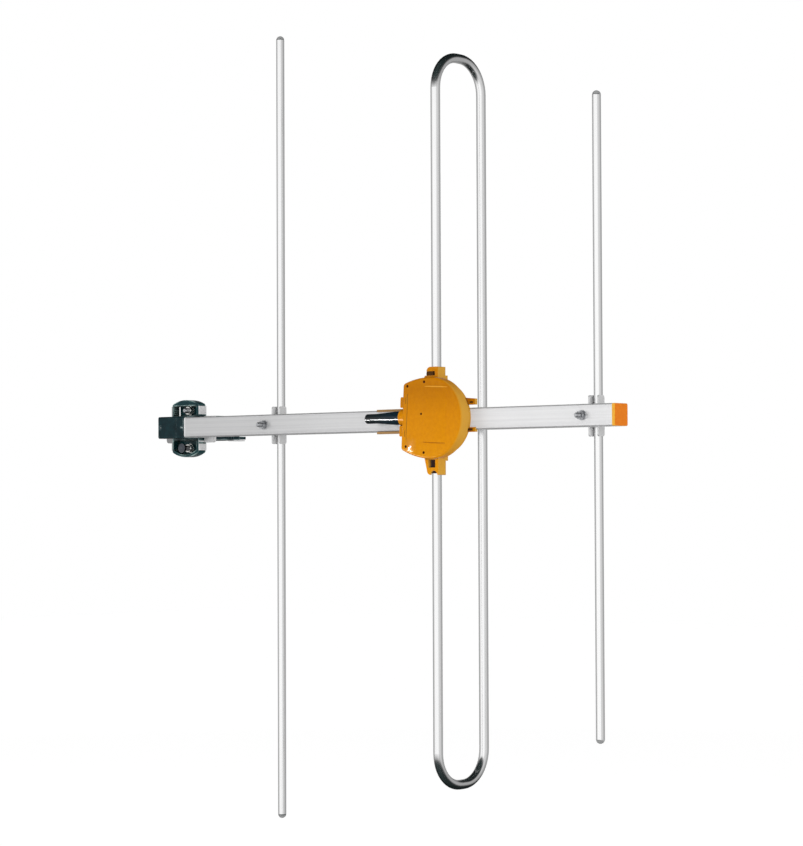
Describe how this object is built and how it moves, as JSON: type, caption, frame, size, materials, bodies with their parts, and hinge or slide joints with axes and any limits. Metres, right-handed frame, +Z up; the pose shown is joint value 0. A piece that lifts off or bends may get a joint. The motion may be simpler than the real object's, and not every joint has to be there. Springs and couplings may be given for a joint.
{
  "type": "dab antenna",
  "caption": "Outdoor digital radio aerial: square boom with reflector, folded dipole and director standing across it, weatherproof feed box and mast clamp.",
  "frame": {"origin": "on the axis of the mast clamp's bore, level with the boom's axis", "axes": "+Z up along the mast and the elements, +X along the boom from the mast to the director, -Y the side that the feed box faces"},
  "size_m": [0.5807, 0.1003, 0.77],
  "materials": {
    "boom_aluminium": "extruded, fine lengthwise lines",
    "element_aluminium": "drawn tube, bright",
    "clip_aluminium": "pressed",
    "zinc_steel": "bright zinc plate",
    "box_plastic": "amber, glossy moulding",
    "cap_plastic": "translucent orange moulding",
    "clamp_plastic": "glossy dark green-black moulding",
    "boot_rubber": "smooth",
    "seal_rubber": "matt",
    "board_green": "glass fibre board",
    "ferrite": "sintered"
  },
  "bodies": {
    "root": {"balun_core": "ferrite", "boom": "boom_aluminium", "boom_bracket": "clamp_plastic", "boom_end_cap": "cap_plastic", "box_base": "box_plastic", "box_cover": "box_plastic", "box_screw": "zinc_steel", "bracket_bolts": "zinc_steel", "bracket_nuts": "zinc_steel", "bracket_washers": "zinc_steel", "cable_socket": "zinc_steel", "circuit_board": "board_green", "connector_boot": "boot_rubber", "director_clip": "clip_aluminium", "director_nut": "zinc_steel", "director_rod": "element_aluminium", "director_screw": "zinc_steel", "director_washer": "zinc_steel", "feed_screws": "zinc_steel", "folded_dipole": "element_aluminium", "front_jaw": "clamp_plastic", "jaw_bolts": "zinc_steel", "jaw_nuts": "zinc_steel", "jaw_washers": "zinc_steel", "leg_seals": "seal_rubber", "rear_jaw": "clamp_plastic", "reflector_clip": "clip_aluminium", "reflector_nut": "zinc_steel", "reflector_rod": "element_aluminium", "reflector_screw": "zinc_steel", "reflector_washer": "zinc_steel", "side_brackets": "clip_aluminium"}
  },
  "joints": []
}
